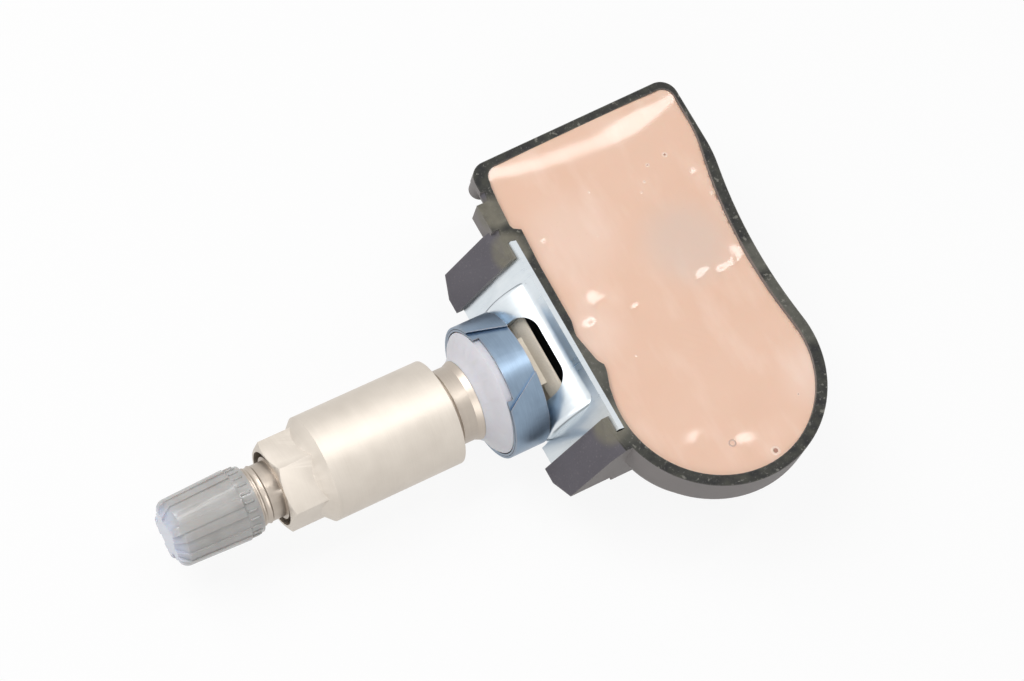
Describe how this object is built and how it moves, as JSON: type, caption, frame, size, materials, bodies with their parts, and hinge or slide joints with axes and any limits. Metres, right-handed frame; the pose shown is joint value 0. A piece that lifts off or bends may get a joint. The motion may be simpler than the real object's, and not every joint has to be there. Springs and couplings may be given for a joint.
{
  "type": "tyre pressure sensor",
  "caption": "Clamp-in tyre valve with a dust cap, long sleeve nut and rubber seal, hinged by a slotted steel bracket to a potted sensor housing.",
  "frame": {"origin": "on the valve's axis, where the flared neck meets the rubber seal: the plane where the rim seats", "axes": "X along the valve, from the dust cap to the housing; +Y to the squared end of the housing; +Z out of its potted face"},
  "size_m": [0.089, 0.056, 0.0185],
  "materials": {
    "cap_plastic": "grey moulded plastic, satin",
    "nickel": "satin nickel plating with a warm tone",
    "stem_nickel": "turned and nickel plated",
    "core_brass": "turned brass",
    "rubber_black": "black rubber",
    "seal_rubber": "pale grey rubber, smooth",
    "blue_steel": "heat-blued spring steel",
    "spring_steel": "bright spring wire",
    "zinc_steel": "bright zinc plating",
    "black_plastic": "glass-filled black moulding, matt",
    "potting_compound": "cast sealing compound, glossy",
    "board_green": "circuit board laminate",
    "cell_steel": "nickel-plated cell can",
    "nickel_strip": "nickel strip",
    "chip_black": "moulded chip package",
    "ferrite": "sintered ferrite",
    "copper": "enamelled copper wire",
    "crystal_case": "metal lid",
    "ceramic": "ceramic chip",
    "membrane": "white membrane"
  },
  "bodies": {
    "valve": {"valve_stem": "stem_nickel", "core_body": "core_brass", "core_gasket": "rubber_black", "core_spring": "spring_steel", "seal_grommet": "seal_rubber", "retainer_ring": "blue_steel", "lock_band": "blue_steel"},
    "nut": {"sleeve_nut": "nickel"},
    "cap_disc": {"cap_seal": "rubber_black"},
    "cap": {"valve_cap": "cap_plastic"},
    "pin": {"core_pin": "core_brass", "core_seat_washer": "rubber_black"},
    "sensor": {"mounting_bracket": "zinc_steel", "housing": "black_plastic", "potting": "potting_compound", "circuit_board": "board_green", "battery": "cell_steel", "battery_tab_top": "nickel_strip", "battery_tab_bottom": "nickel_strip", "sensor_chip": "chip_black", "ferrite_core": "ferrite", "antenna_winding": "copper", "antenna_loop": "copper", "crystal": "crystal_case", "chip_capacitors": "ceramic", "port_gasket": "rubber_black", "port_filter": "membrane"}
  },
  "joints": [
    {"name": "housing_tilt", "type": "hinge", "parent": "valve", "child": "sensor", "pos_m": [0.0157, 0, 0], "axis": [0, -1, 0], "range_deg": [0, 24]},
    {"name": "nut_travel", "type": "slide", "parent": "valve", "child": "nut", "axis": [-1, 0, 0], "range_m": [-0.0025, 0.03]},
    {"name": "cap_travel", "type": "slide", "parent": "valve", "child": "cap_disc", "axis": [-1, 0, 0], "range_m": [0, 0.00476]},
    {"name": "cap_spin", "type": "hinge", "parent": "cap_disc", "child": "cap", "pos_m": [-0.0405, 0, 0], "axis": [-1, 0, 0], "range_deg": [0, 2160]},
    {"name": "core_press", "type": "slide", "parent": "valve", "child": "pin", "axis": [1, 0, 0], "range_m": [0, 0.0012], "stiffness_N_per_m": 2000, "springref_m": -0.001, "deforming": ["core_spring"]}
  ],
  "couplings": [
    {"joint": "cap_spin", "follows": "cap_travel", "rad_per_m": 7915.8}
  ]
}
